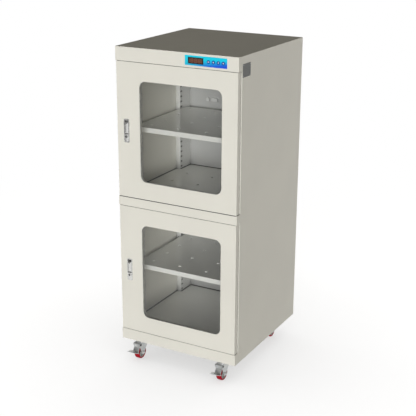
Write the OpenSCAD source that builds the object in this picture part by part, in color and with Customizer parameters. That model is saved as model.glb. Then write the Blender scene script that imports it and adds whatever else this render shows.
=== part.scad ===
// Two-door electronic drying cabinet on swivel casters.
// Frame: origin on the floor under the middle of the bounding box, +Z up, doors facing -Y.

/* [Body] */
// Outer width of the body
body_w = 600; // [540:10:700]
// Depth from the door fronts to the rear edges of the sides
body_d = 640; // [600:10:720]
// Height of the body without the casters
body_h = 1385; // [1285:5:1485]
// Thickness of the folded sheet steel
sheet = 1.5; // [1.2:0.1:2]
// Height of the header above the upper door
header_h = 61; // [56:1:80]
// Height of the cross rail between the doors
mullion_h = 42; // [36:1:60]
// Height of the bottom rail below the lower door
rail_h = 52; // [46:1:70]
// Width of the front flange that the door gaskets close on
seal_flange = 28; // [26:0.5:32]
// How far the back panel lies in from the rear edges
back_recess = 31.5; // [26:0.5:40]
// Height of the inner floor above the underside of the body
floor_rise = 50; // [44:1:60]

/* [Doors] */
// Thickness of a door
door_t = 25; // [24:0.5:30]
// Gap between a door and the rail above or below it
reveal = 2; // [2:0.25:3]
// How far a door edge lies in from the side of the body
door_inset = 3; // [2:0.5:4]
// Gap between the back of a door and the body, filled by the gasket
seal_gap = 5; // [4.5:0.25:6]
// Width of the lip folded in behind a door edge
door_lip = 18; // [14:1:22]
// Margin between window and door edge above and below
window_margin_z = 79; // [70:1:100]
// Margin between window and door edge on the handle side
window_margin_handle = 116; // [100:1:130]
// Margin between window and door edge on the hinge side
window_margin_hinge = 73; // [60:1:90]
// Corner radius of the window
window_r = 30; // [20:1:40]
// Thickness of the glass
glass_t = 4; // [3:0.5:5]
// How far the glass reaches behind the door skin
glass_lap = 8; // [6:0.5:10]
// Width of the magnetic gasket
gasket_w = 12; // [9:0.5:12]
// Distance from door edge to gasket
gasket_inset = 10; // [10:0.5:11]
// Distance of the hinge pins from the door's edge
hinge_inset = 9; // [8:0.5:10]
// Radius of a hinge pin
hinge_pin_r = 3; // [2.5:0.25:3.5]
// Length of hinge pin inside the door
hinge_pin_len = 14; // [10:1:16]
// Running clearance on the radius of every pin in its bore
pin_fit = 0.05; // [0.03:0.01:0.08]
// Air left between parts that move past each other
clear = 0.3; // [0.3:0.05:0.4]

/* [Handle] */
// Distance from the door's edge to the middle of the handle
handle_x = 48; // [46:1:54]
// Width of the handle bezel
handle_w = 28; // [26:0.5:32]
// Height of the handle bezel
handle_h = 106; // [104:1:120]
// Thickness of the bezel in front of the door
bezel_t = 2.5; // [2:0.25:3.5]
// Depth of the handle housing behind the door skin
housing_depth = 17; // [17:0.5:18]
// Width of the pull lever
lever_w = 19; // [17:0.5:19.5]
// Height of the lever above its pivot
lever_len = 41.5; // [38:0.5:43]
// How far lever and lock stand in front of the door
lever_proud = 7; // [6:0.25:8]
// Radius of the lever's rounded front
lever_round = 12; // [11:0.5:13]
// Radius of the lock cylinder
lock_r = 8; // [7:0.25:8.5]
// Distance of the lock below the middle of the handle
lock_drop = 26; // [25.5:0.5:30]
// Length of the lock cam from the lock's axis
cam_len = 33; // [31:0.5:36]
// Width of the lock cam
cam_w = 9; // [7:0.5:11]

/* [Shelves] */
// Pitch of the slots in the uprights
slot_pitch = 25; // [20:1:32]
// Height of the first slot above the chamber floor
slot_start_height = 13; // [12:0.5:16]
// Height of a slot
slot_h = 9; // [6:0.5:10]
// Width of a slot
slot_w = 18; // [10:1:18]
// Slot that carries the shelf in the upper chamber
shelf_slot_upper = 11; // [4:1:18]
// Slot that carries the shelf in the lower chamber
shelf_slot_lower = 11; // [4:1:18]
// Depth of the front uprights
upright_d = 120; // [90:2:124]
// Distance from the front flange to the front uprights
upright_gap = 18; // [14:1:24]
// How far the uprights stand in from the outer side
upright_face = 25; // [24:0.5:26]
// Distance of the rear slots from the back panel
rear_slot_back = 88; // [80:1:96]
// Depth of a shelf
shelf_d = 470; // [440:5:480]
// Distance from door front to the front edge of a shelf
shelf_front = 88; // [80:1:100]
// Height of the folded edge of a shelf
shelf_lip = 22; // [18:1:26]
// Gap between a shelf and the uprights
shelf_gap = 5; // [4:0.5:6]
// Width of the return under a shelf edge
shelf_return = 10; // [8:0.5:12]
// Radius of the air holes
hole_r = 7; // [4:0.5:8]
// Pitch of the air holes from side to side
hole_pitch_x = 140; // [120:5:150]
// Pitch of the air holes from front to back in the shelves
hole_pitch_y = 118; // [100:2:120]
// Pitch of the air holes from front to back in the divider
divider_pitch_y = 140; // [120:5:150]

/* [Control panel] */
// Width of the control panel
panel_w = 198; // [190:1:210]
// Height of the control panel
panel_h = 41.5; // [39:0.5:44]
// Distance of its right edge from the side of the body
panel_right = 54; // [45:1:70]
// Thickness of the panel face
panel_t = 1.2; // [1:0.1:2]
// Width of the display window
display_w = 73.5; // [68:0.5:78]
// Height of the display window
display_h = 27.5; // [24:0.5:30]
// Distance of the display from the panel's left edge
display_left = 14.5; // [12:0.5:18]
// Radius of a button
button_r = 7.5; // [6.5:0.25:8]
// Pitch of the buttons
button_pitch = 23; // [21.5:0.25:24]
// Distance of the last button from the panel's right edge
button_right = 17; // [15:0.5:20]
// Travel of a button
button_travel = 1; // [0.6:0.1:1.2]

/* [Casters] */
// Height of a caster from floor to mounting face
caster_h = 98; // [96:1:104]
// Radius of a wheel
wheel_r = 32.5; // [30:0.5:34]
// Width of a wheel's tread
wheel_w = 26; // [22:1:28]
// Distance of the axle from the swivel axis
trail = 35; // [32:0.5:37]
// Distance of the swivel axis from the side of the body
caster_x = 80; // [70:1:100]
// Distance of the front swivel axes from the door fronts
caster_front = 62; // [56:1:90]
// Distance of the rear swivel axes from the rear edges
caster_rear = 65; // [60:1:90]
// Radius of the axle bolt
axle_r = 4; // [3.5:0.25:5]
// Radius of the kingpin
kingpin_r = 6; // [5:0.5:8]
// Thickness of the fork arms
arm_t = 2.5; // [2:0.25:3]
// Distance of the pedal's toe from the swivel axis
pedal_reach = 117; // [110:1:125]
// Width of the pedal's toe plate
pedal_w = 38; // [34:1:42]

/* [Rear] */
// Width of the rear cover
cover_w = 400; // [340:10:460]
// Height of the rear cover
cover_h = 320; // [280:10:380]
// Depth of the rear cover
cover_d = 66; // [58:1:80]
// Width of a louvre
louvre_w = 110; // [90:5:120]
// Pitch of the louvres
louvre_pitch = 22; // [18:1:26]
// Number of louvres in a column
louvre_n = 7; // [4:1:8]

/* [Hidden] */
$fn = 64;

// Finishes
ivory = [0.87, 0.87, 0.83];
grey = [0.62, 0.62, 0.60];
zinc = [0.78, 0.80, 0.82];
chrome = [0.85, 0.86, 0.88];
black = [0.12, 0.12, 0.12];
red = [0.60, 0.03, 0.06];

// Heights
body_z = caster_h;
body_top = body_z + body_h;
floor_z = body_z + floor_rise;
door_h = (body_h - header_h - mullion_h - rail_h - 4 * reveal) / 2;
rail_top = body_z + rail_h;
door_z_lower = rail_top + reveal;
mullion_z = door_z_lower + door_h + reveal;
mullion_top = mullion_z + mullion_h;
door_z_upper = mullion_top + reveal;
header_z = door_z_upper + door_h + reveal;
seal_rise = reveal + gasket_inset + gasket_w + 2;

// Depths, measured back from the door fronts by fy()
frame_d = door_t + seal_gap;
back_d = body_d - back_recess - sheet;
rear_proud = cover_d - back_recess;
handle_front = lever_proud + 1;
front_proud = max(pedal_reach - caster_front, handle_front);
front_y = (front_proud - body_d - rear_proud) / 2;
function fy(depth) = front_y + depth;

// Base and rear
base_t = 2.5;
base_upstand = 30;
floor_edge = 20;
floor_press = 1.5;
duct_r = 24;
cover_z = (body_z + body_top - cover_h) / 2;
unit_up = 70;
unit_z = cover_z + unit_up;
duct_low = 6;
duct_high = 60;
duct_heights = [unit_z + duct_r + duct_low, cover_z + cover_h - duct_high];
inlet_x = 120;
inlet_up = 45;
inlet_z = cover_z + inlet_up;

// Door
door_w = body_w - 2 * door_inset;
window_w = door_w - window_margin_handle - window_margin_hinge;
window_h = door_h - 2 * window_margin_z;
seal_lip = 1.5;
seal_edge = 4;
seal_front_t = 1;
seal_t = seal_front_t + glass_t + 2;
rim_gap = 5;
liner_back = door_t - sheet;
hinge_x = door_w - hinge_inset;
hinge_d = door_t / 2;
hinge_block = 2 * (hinge_inset - sheet);
shoulder_r = 2 * hinge_pin_r;
shoulder_h = reveal - clear;
pin_tail = 9;

// Handle, measured from its own middle
lever_pivot_z = -4;
lever_pivot_d = 4;
lever_end_r = lever_proud + lever_pivot_d;
lever_pin_r = 2;
lever_top = lever_pivot_z + lever_len;
lever_back = -0.5;
scoop = 11;
body_wall = 1.5;
housing_w = lever_w + 2 * (body_wall + 1);
housing_h = handle_h - 5;
recess_w = lever_w + 2;
recess_floor = lever_pivot_z - lever_end_r - clear;
recess_d = housing_depth - 2;
lock_front = -handle_front;
cam_d = frame_d + sheet + 2;
cam_t = 2;

// Chambers: floor and ceiling of each
upper_floor = mullion_top;
upper_ceiling = header_z;
lower_floor = floor_z;
lower_ceiling = mullion_top - sheet;
sensor_in = 164;
sensor_up = 345;
slot_edge = 11;
upright_front_d = frame_d + sheet + upright_gap;
front_slot_d = upright_front_d + upright_d - slot_edge;
rear_slot_d = back_d - rear_slot_back;
rear_upright_d = rear_slot_d - slot_edge;
web_x = body_w / 2 - upright_face;
clip_t = 2;
clip_w = slot_w - 2;
shelf_w = 2 * (web_x - shelf_gap);
function slot_z(floor_level, n) = floor_level + slot_start_height + n * slot_pitch;
function shelf_bottom(floor_level, n) = slot_z(floor_level, n) - slot_h / 2 + clip_t;
shelf_z_upper = shelf_bottom(upper_floor, shelf_slot_upper);
shelf_z_lower = shelf_bottom(lower_floor, shelf_slot_lower);

// Control panel
panel_x = body_w / 2 - panel_right - panel_w;
panel_z = header_z + (header_h - panel_h) / 2 + 0.5;
panel_border = 6;
button_z = panel_z + panel_h / 2;
function button_x(n) = panel_x + panel_w - button_right - (4 - n) * button_pitch;
button_flange = 1.2;
button_stem = 3;
box_front = clear + button_flange + button_stem + button_travel + clear;

// Casters, heights from the floor, depths from the swivel axis
plate_t = 2.5;
race_h = 4.5;
race_r = 20;
crown_r = 24;
crown_t = 4.5;
bridge_t = 2;
race_z = caster_h - plate_t - race_h;
crown_top = race_z - clear;
bridge_z = crown_top - crown_t - bridge_t;
kingpin_head_r = 10;
kingpin_head_t = 2.5;
hub_r = wheel_r - 8.5;
hub_boss_r = 9;
arm_in = wheel_w / 2 + 2.5;
arm_out = arm_in + arm_t;
lug_y = -trail - 23;
lug_z = bridge_z - 6;
lug_r = 7;
brake_pin_r = 2.5;
brake_gap = 7.5;
hood_r = wheel_r + brake_gap;
hood_t = 2;
toe_z = 62;
plate_x = 64;
plate_y = 92;
bolt_x = 45;
bolt_y = 75;
bolt_r = 4.2;

// Extrude a drawing of the X-Z plane along +Y by t
module extrude_y(t) { rotate([90, 0, 0]) translate([0, 0, -t]) linear_extrude(t) children(); }

// Extrude a drawing of the Y-Z plane along +X by t
module extrude_x(t) { rotate([90, 0, 90]) linear_extrude(t) children(); }

// Rectangle with round corners, lower left corner at the origin
module round_rect(w, h, r) {
    translate([r, 0]) square([w - 2 * r, h]);
    translate([0, r]) square([w, h - 2 * r]);
    for (x = [r, w - r], y = [r, h - r]) translate([x, y]) circle(r);
}

// Keep the children on the right and add their mirror image on the left
module both_sides() {
    children();
    mirror([1, 0, 0]) children();
}

// Rectangular box from its low corner and size
module block(corner, size) { translate(corner) cube(size); }

// ---- Body ----

// Right side: wall, front flange for the gaskets and rear flange
module side_panel() {
    h = body_h - sheet;
    x = body_w / 2;
    rear_flange = 15;
    color(ivory) translate([0, 0, body_z]) {
        block([x - sheet, fy(frame_d), 0], [sheet, body_d - frame_d, h]);
        block([x - seal_flange, fy(frame_d), base_t], [seal_flange, sheet, h - base_t]);
        block([x - rear_flange, fy(body_d) - sheet, 0], [rear_flange, sheet, h]);
    }
}
module side_panel_right() { side_panel(); }
module side_panel_left() { mirror([1, 0, 0]) side_panel(); }

// Back: plate with flanges turned rearwards along both sides
module back_panel() {
    w = body_w - 2 * sheet;
    h = body_h - sheet - base_t;
    flange = back_recess - sheet;
    color(ivory) difference() {
        translate([0, 0, body_z + base_t]) {
            block([-w / 2, fy(back_d), 0], [w, sheet, h]);
            both_sides() block([w / 2 - sheet, fy(back_d), 0], [sheet, flange, h]);
        }
        for (z = duct_heights) translate([0, fy(back_d) - 1, z])
            extrude_y(sheet + 2) circle(duct_r - 2);
    }
}
module top_panel() {
    rear_flange = 24;
    color(ivory) {
        block([-body_w / 2, fy(0), body_top - sheet], [body_w, body_d, sheet]);
        block([-body_w / 2 + 15, fy(body_d) - sheet, body_top - rear_flange],
              [body_w - 30, sheet, rear_flange]);
    }
}

// Folded front member: face, end returns, returns behind its edges
// and sealing flanges that rise or drop behind the doors
module front_member(z, h, flange_below, flange_above, close_below, close_above) {
    w = body_w;
    inner = body_w - 2 * seal_flange;
    block([-w / 2, fy(0), z], [w, sheet, h]);
    both_sides() block([w / 2 - sheet, fy(0), z], [sheet, frame_d, h]);
    if (close_below) block([-w / 2, fy(0), z], [w, frame_d, sheet]);
    if (close_above) block([-w / 2, fy(0), z + h - sheet], [w, frame_d, sheet]);
    block([-inner / 2, fy(frame_d), z - flange_below], [inner, sheet, h + flange_below + flange_above]);
}

// Hole for a hinge pin through a front member at height z
module hinge_hole(z) {
    translate([hinge_x - door_w / 2, fy(hinge_d), z - sheet]) cylinder(h = 3 * sheet, r = hinge_pin_r + pin_fit);
}

module header() {
    color(ivory) difference() {
        front_member(header_z, header_h - sheet, seal_rise, 0, true, false);
        block([panel_x + panel_border, fy(0) - 1, panel_z + panel_border],
              [panel_w - 2 * panel_border, sheet + 2, panel_h - 2 * panel_border]);
        hinge_hole(header_z);
    }
}
module mullion() {
    color(ivory) difference() {
        front_member(mullion_z, mullion_h, seal_rise, seal_rise, true, true);
        hinge_hole(mullion_z);
        hinge_hole(mullion_top - sheet);
    }
}
module bottom_rail() {
    color(ivory) difference() {
        front_member(body_z, rail_h, -base_t, seal_rise, false, true);
        hinge_hole(rail_top - sheet);
    }
}

// Level sheet between the sides, from the front flanges to the back panel
module level_sheet(z) {
    inner_d = frame_d + sheet;
    block([-body_w / 2 + sheet, fy(inner_d), z], [body_w - 2 * sheet, back_d - inner_d, sheet]);
}
module ceiling_panel() { color(grey) level_sheet(upper_ceiling); }

module divider() {
    rows = floor((back_d - frame_d - 100) / divider_pitch_y);
    color(grey) difference() {
        level_sheet(lower_ceiling);
        air_holes(4, rows, hole_pitch_x, divider_pitch_y, fy((frame_d + back_d) / 2), lower_ceiling);
    }
}

// Grid of air holes through a sheet at height z, centred on x = 0 and on y
module air_holes(columns, rows, pitch_x, pitch_y, y, z) {
    for (i = [0 : columns - 1], j = [0 : rows - 1])
        translate([(i - (columns - 1) / 2) * pitch_x, y + (j - (rows - 1) / 2) * pitch_y, z - 1])
            cylinder(h = sheet + 2, r = hole_r);
}

// Floor of the lower chamber, with edges folded down at the sides and a raised field to stand goods on
module floor_panel() {
    inner_d = frame_d + sheet;
    depth = back_d - inner_d;
    margin = 10;
    field_w = 2 * (web_x - margin);
    color(grey) difference() {
        union() {
            level_sheet(floor_z - sheet);
            both_sides() block([body_w / 2 - 2 * sheet, fy(inner_d), floor_z - floor_edge],
                               [sheet, depth, floor_edge]);
            block([-field_w / 2, fy(inner_d) + margin, floor_z - sheet],
                  [field_w, depth - 2 * margin, sheet + floor_press]);
        }
        block([-field_w / 2 + sheet, fy(inner_d) + margin + sheet, floor_z - sheet - 1],
              [field_w - 2 * sheet, depth - 2 * (margin + sheet), 1 + floor_press]);
    }
}

// Base plate that the casters bolt to, with upstands at front and back
module base_pan() {
    w = body_w - 2 * sheet;
    holes = bolt_r;
    color(ivory) difference() {
        union() {
            block([-w / 2, fy(sheet), body_z], [w, body_d - 2 * sheet, base_t]);
            block([-w / 2, fy(body_d) - 2 * sheet, body_z], [w, sheet, base_upstand]);
        }
        for (c = CASTERS, dx = [-1, 1], dy = [-1, 1])
            translate([c[0] + dx * bolt_x / 2, c[1] + dy * bolt_y / 2, body_z - 1])
                cylinder(h = base_t + 2, r = holes);
    }
}

// ---- Shelf uprights and shelves ----

// Right-hand channel with a row of slots, from depth d1 to d2
module upright(z0, z1, d1, d2, slot_d) {
    flange = upright_face - sheet;
    slots = floor((z1 - z0 - 2 * slot_start_height) / slot_pitch);
    difference() {
        union() {
            block([web_x, fy(d1), z0], [sheet, d2 - d1, z1 - z0]);
            for (d = [d1, d2 - sheet]) block([web_x, fy(d), z0], [flange, sheet, z1 - z0]);
        }
        for (n = [0 : slots])
            block([web_x - 1, fy(slot_d) - slot_w / 2, slot_z(z0, n) - slot_h / 2],
                  [sheet + 2, slot_w, slot_h]);
    }
}
module uprights(d1, d2, slot_d) {
    color(grey) both_sides() {
        upright(upper_floor, upper_ceiling, d1, d2, slot_d);
        upright(lower_floor, lower_ceiling, d1, d2, slot_d);
    }
}
module uprights_front() { uprights(upright_front_d, upright_front_d + upright_d, front_slot_d); }
module uprights_rear() { uprights(rear_upright_d, back_d, rear_slot_d); }

// Shelf tray: folded edges, returns under the sides and a grid of air holes
module shelf(z) {
    top = z + shelf_lip;
    color(ivory) difference() {
        union() {
            block([-shelf_w / 2, fy(shelf_front), top - sheet], [shelf_w, shelf_d, sheet]);
            for (d = [shelf_front, shelf_front + shelf_d - sheet])
                block([-shelf_w / 2, fy(d), z], [shelf_w, sheet, shelf_lip]);
            block([-shelf_w / 2, fy(shelf_front), z], [shelf_w, shelf_return, sheet]);
            both_sides() {
                block([shelf_w / 2 - sheet, fy(shelf_front), z], [sheet, shelf_d, shelf_lip]);
                block([shelf_w / 2 - shelf_return, fy(shelf_front), z], [shelf_return, shelf_d, sheet]);
            }
        }
        air_holes(4, 4, hole_pitch_x, hole_pitch_y, fy(shelf_front + shelf_d / 2), top - sheet);
    }
}
module shelf_upper() { shelf(shelf_z_upper); }
module shelf_lower() { shelf(shelf_z_lower); }

// Right-hand clip: its tongue rests in a slot and hooks down behind the web
module shelf_clip(z, slot_d) {
    ledge = shelf_gap + shelf_return + 2;
    hook = 7;
    translate([web_x, fy(slot_d) - clip_w / 2, z - clip_t]) {
        block([-ledge, 0, 0], [ledge + sheet + clear + clip_t, clip_w, clip_t]);
        block([-clip_t, 0, 0], [clip_t, clip_w, shelf_lip - 4]);
        block([sheet + clear, 0, -hook], [clip_t, clip_w, hook + clip_t]);
    }
}
module shelf_clips() {
    color(zinc) both_sides()
        for (z = [shelf_z_upper, shelf_z_lower], d = [front_slot_d, rear_slot_d]) shelf_clip(z, d);
}

// ---- Doors, drawn from the lower left corner of the door's front ----

module place_door(z) { translate([-door_w / 2, fy(0), z]) children(); }

// Outline of the window grown by g on every side
module window_outline(g) {
    translate([window_margin_handle - g, window_margin_z - g])
        round_rect(window_w + 2 * g, window_h + 2 * g, window_r + g);
}

// Outline of the handle housing, grown by g
module handle_outline(w, h, g, r) {
    translate([handle_x - w / 2 - g, door_h / 2 - h / 2 - g]) round_rect(w + 2 * g, h + 2 * g, r);
}

// Door pan: skin with window and handle openings, folded edges, rear lips, hinge blocks
module door_frame() {
    block_h = hinge_pin_len + 2;
    color(ivory) difference() {
        union() {
            difference() {
                cube([door_w, door_t, door_h]);
                block([sheet, sheet, sheet], [door_w - 2 * sheet, door_t - 2 * sheet, door_h - 2 * sheet]);
                block([door_lip, sheet, door_lip], [door_w - 2 * door_lip, door_t, door_h - 2 * door_lip]);
            }
            for (z = [sheet, door_h - sheet - block_h])
                block([door_w - sheet - hinge_block, hinge_d - hinge_block / 2, z],
                      [hinge_block, liner_back - sheet - clear - hinge_d + hinge_block / 2, block_h]);
        }
        translate([0, -1, 0]) extrude_y(sheet + 2) window_outline(0);
        translate([0, -1, 0]) extrude_y(sheet + 2) handle_outline(housing_w, housing_h, clear, 2);
        for (z = [-1, door_h - hinge_pin_len - 1]) translate([hinge_x, hinge_d, z])
            cylinder(h = hinge_pin_len + 2, r = hinge_pin_r + pin_fit);
    }
}

// Inner pan that closes the door's back and clamps the glazing seal with its rim
module door_liner() {
    gap = sheet + clear;
    color(ivory) difference() {
        union() {
            block([gap, liner_back - sheet, gap], [door_w - 2 * gap, sheet, door_h - 2 * gap]);
            translate([0, sheet + seal_t, 0]) extrude_y(liner_back - sheet - seal_t)
                window_outline(rim_gap + sheet);
        }
        translate([0, sheet + seal_t - 1, 0]) extrude_y(door_t) window_outline(rim_gap);
        translate([handle_x, 0, door_h / 2 - lock_drop]) extrude_y(door_t) circle(lock_r + 1);
    }
}

module door_glass() {
    color([0.8, 0.9, 0.9, 0.3]) translate([0, sheet + seal_front_t, 0])
        extrude_y(glass_t) window_outline(glass_lap);
}

// Channel seal round the edge of the glass
module glazing_seal() {
    color(black) difference() {
        translate([0, sheet, 0]) extrude_y(seal_t) window_outline(glass_lap + seal_edge);
        translate([0, sheet + seal_front_t, 0]) extrude_y(glass_t) window_outline(glass_lap);
        extrude_y(door_t) window_outline(-seal_lip);
    }
}

// Magnetic gasket on the back of the door
module door_gasket() {
    i = gasket_inset;
    o = gasket_inset + gasket_w;
    color(grey) translate([0, door_t, 0]) difference() {
        block([i, 0, i], [door_w - 2 * i, seal_gap - clear, door_h - 2 * i]);
        block([o, -1, o], [door_w - 2 * o, seal_gap + 2, door_h - 2 * o]);
    }
}

// Round-fronted bar along Z, standing proud of the door, from z0 to z1
module round_front(z0, z1, depth) {
    intersection() {
        translate([0, lever_round - lever_proud, z0]) cylinder(h = z1 - z0, r = lever_round);
        block([-lever_w / 2, -lever_proud, z0], [lever_w, lever_proud + depth, z1 - z0]);
    }
}

module place_handle() { translate([handle_x, 0, door_h / 2]) children(); }

// Bezel, pocket for the lever and round-fronted block for the lock
module handle_housing() {
    z0 = -housing_h / 2;
    color(chrome) place_handle() difference() {
        union() {
            translate([-handle_w / 2, -bezel_t, -handle_h / 2]) extrude_y(bezel_t)
                round_rect(handle_w, handle_h, 5);
            translate([-housing_w / 2, 0, z0]) extrude_y(housing_depth)
                round_rect(housing_w, housing_h, 2);
            round_front(z0 + 4, recess_floor, 0);
        }
        block([-recess_w / 2, -bezel_t - 1, recess_floor],
              [recess_w, bezel_t + 1 + recess_d, lever_top + scoop - recess_floor]);
        translate([0, -lever_proud - 1, -lock_drop]) extrude_y(housing_depth + lever_proud + 2)
            circle(lock_r + pin_fit);
        translate([-housing_w, lever_pivot_d, lever_pivot_z]) extrude_x(2 * housing_w)
            circle(lever_pin_r + pin_fit);
    }
}

// Pull lever: round front, barrel end about the pivot and a pin at each side
module handle_lever() {
    tip = 8;
    color(chrome) place_handle() {
        intersection() {
            translate([0, lever_round - lever_proud, -handle_h / 2]) cylinder(h = handle_h, r = lever_round);
            translate([-lever_w / 2, 0, 0]) extrude_x(lever_w) {
                translate([lever_pivot_d, lever_pivot_z]) circle(lever_end_r);
                polygon([[-lever_proud, lever_pivot_z], [-lever_proud, lever_top - tip],
                         [-lever_proud + 3, lever_top], [lever_back, lever_top], [lever_back, 10],
                         [lever_pivot_d + lever_end_r - 1, lever_pivot_z]]);
            }
        }
        for (side = [-1, 1]) translate([side * (lever_w / 2 - 1), lever_pivot_d, lever_pivot_z])
            rotate([0, side * 90, 0]) cylinder(h = 1 + 1 + body_wall - 0.2, r = lever_pin_r);
    }
}

// Lock cylinder with its keyway, and the cam behind the door
module door_lock() {
    key_w = 1.6;
    key_h = 8;
    color(chrome) translate([handle_x, 0, door_h / 2 - lock_drop]) {
        difference() {
            translate([0, lock_front, 0]) extrude_y(cam_d - lock_front) circle(lock_r);
            block([-key_w / 2, lock_front - 1, -key_h / 2], [key_w, 6, key_h]);
        }
        translate([0, cam_d, 0]) extrude_y(cam_t) {
            circle(cam_w / 2 + 2);
            translate([-cam_w / 2, -cam_len]) square([cam_w, cam_len]);
        }
    }
}

module door_frame_upper() { place_door(door_z_upper) door_frame(); }
module door_liner_upper() { place_door(door_z_upper) door_liner(); }
module door_glass_upper() { place_door(door_z_upper) door_glass(); }
module glazing_seal_upper() { place_door(door_z_upper) glazing_seal(); }
module door_gasket_upper() { place_door(door_z_upper) door_gasket(); }
module handle_housing_upper() { place_door(door_z_upper) handle_housing(); }
module handle_lever_upper() { place_door(door_z_upper) handle_lever(); }
module door_lock_upper() { place_door(door_z_upper) door_lock(); }
module door_frame_lower() { place_door(door_z_lower) door_frame(); }
module door_liner_lower() { place_door(door_z_lower) door_liner(); }
module door_glass_lower() { place_door(door_z_lower) door_glass(); }
module glazing_seal_lower() { place_door(door_z_lower) glazing_seal(); }
module door_gasket_lower() { place_door(door_z_lower) door_gasket(); }
module handle_housing_lower() { place_door(door_z_lower) handle_housing(); }
module handle_lever_lower() { place_door(door_z_lower) handle_lever(); }
module door_lock_lower() { place_door(door_z_lower) door_lock(); }

// Hinge pin at a door edge, pointing up into the door or, mirrored, down into it
module hinge_pin() {
    translate([0, 0, -pin_tail]) cylinder(h = pin_tail + hinge_pin_len + reveal, r = hinge_pin_r);
    cylinder(h = shoulder_h, r = shoulder_r);
    translate([0, 0, -sheet - 1.5]) cylinder(h = 1.5, r = shoulder_r - 1);
}
module hinge_pins() {
    color(zinc) translate([hinge_x - door_w / 2, fy(hinge_d), 0]) {
        for (z = [rail_top, mullion_top]) translate([0, 0, z]) hinge_pin();
        for (z = [mullion_z, header_z]) translate([0, 0, z]) mirror([0, 0, 1]) hinge_pin();
    }
}

// ---- Controls ----

module control_panel() {
    color([0.20, 0.62, 0.80]) difference() {
        translate([panel_x, fy(-panel_t), panel_z]) extrude_y(panel_t) round_rect(panel_w, panel_h, 2);
        block([panel_x + display_left, fy(-panel_t) - 1, panel_z + (panel_h - display_h) / 2],
              [display_w, panel_t + 2, display_h]);
        for (n = [1 : 4]) translate([button_x(n), fy(-panel_t) - 1, button_z])
            extrude_y(panel_t + 2) circle(button_r + pin_fit);
    }
}

// Tinted lens that stands on the controller box and fills the panel's window
module display_window() {
    color([0.25, 0.05, 0.05]) block([panel_x + display_left + clear, fy(-panel_t - 0.3),
        panel_z + (panel_h - display_h) / 2 + clear],
        [display_w - 2 * clear, panel_t + 0.3 + box_front, display_h - 2 * clear]);
}

// Button cap with a retaining flange behind the panel and a stem
module button(n) {
    proud = 1;
    color([0.10, 0.35, 0.65]) translate([button_x(n), 0, button_z]) {
        translate([0, fy(-panel_t - proud), 0]) extrude_y(panel_t + proud + clear + button_flange) circle(button_r);
        translate([0, fy(clear), 0]) extrude_y(button_flange) circle(button_r + 1.5);
        translate([0, fy(clear), 0]) extrude_y(button_flange + button_stem) circle(2.5);
    }
}
module button_1() { button(1); }
module button_2() { button(2); }
module button_3() { button(3); }
module button_4() { button(4); }

// Controller housing, fixed to the flange at the back of the header
module controller_box() {
    margin = 2;
    color(black) block([panel_x + margin, fy(box_front), panel_z + margin],
                       [panel_w - 2 * margin, frame_d - box_front, panel_h - 2 * margin]);
}

// ---- Inside and rear ----

// Sensor head with a round cap, on the back wall of the upper chamber
module humidity_sensor() {
    w = 34;
    h = 18;
    t = 9;
    cap = 3;
    color(black) translate([-body_w / 2 + sensor_in, fy(back_d), upper_floor + sensor_up]) {
        translate([-w / 2, -t, -h / 2]) extrude_y(t) round_rect(w, h, h / 2 - 1);
        translate([-w - 1, -t - cap, 0]) extrude_y(t + cap) circle(h / 2);
    }
}

// Drying module: desiccant case and the two duct collars into the chambers
module drying_unit() {
    w = cover_w - 60;
    color(zinc) {
        block([-w / 2, fy(back_d + sheet), unit_z], [w, cover_d - 16, cover_z + cover_h - 30 - unit_z]);
        for (z = duct_heights) translate([0, fy(back_d - 4), z]) extrude_y(sheet + 5) difference() {
            circle(duct_r - 3);
            circle(duct_r - 6);
        }
    }
}

// Louvred cover with a fixing flange all round
module rear_cover() {
    rear = fy(back_d + sheet + cover_d);
    flange = 14;
    color(ivory) difference() {
        union() {
            block([-cover_w / 2, fy(back_d + sheet), cover_z], [cover_w, cover_d, cover_h]);
            block([-cover_w / 2 - flange, fy(back_d + sheet), cover_z - flange],
                  [cover_w + 2 * flange, sheet, cover_h + 2 * flange]);
        }
        block([-cover_w / 2 + sheet, fy(back_d + sheet) - 1, cover_z + sheet],
              [cover_w - 2 * sheet, cover_d - sheet + 1, cover_h - 2 * sheet]);
        for (x = [-1, 1], n = [0 : louvre_n - 1])
            block([x * cover_w / 4 - louvre_w / 2, rear - sheet - 1, cover_z + 110 + n * louvre_pitch],
                  [louvre_w, sheet + 2, 6]);
        block([inlet_x - 14, rear - sheet - 1, inlet_z - 10], [28, sheet + 2, 20]);
    }
}

// Appliance inlet: flange, open socket and three flat pins
module power_inlet() {
    rear = fy(back_d + sheet + cover_d);
    depth = 16;
    pin_len = 9;
    color(black) translate([inlet_x, rear - sheet - depth, inlet_z]) {
        difference() {
            block([-13.7, 0, -9.7], [27.4, depth + sheet, 19.4]);
            block([-11.5, 2, -7.5], [23, depth + sheet, 15]);
        }
        for (p = [[-7, -1], [7, -1], [0, 3]]) block([p[0] - 1, 0, p[1] - 2], [2, pin_len, 4]);
    }
}

// ---- Casters, drawn about the swivel axis with the wheel trailing to the front ----

front_caster_y = front_y + caster_front;
rear_caster_y = front_y + body_d - caster_rear;
caster_dx = body_w / 2 - caster_x;
// Swivel axes: front left, front right, rear left, rear right
CASTERS = [[-caster_dx, front_caster_y], [caster_dx, front_caster_y],
           [-caster_dx, rear_caster_y], [caster_dx, rear_caster_y]];
module place_caster(n) { translate([CASTERS[n][0], CASTERS[n][1], 0]) children(); }
module place_axle() { translate([0, -trail, wheel_r]) rotate([0, 90, 0]) children(); }

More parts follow.
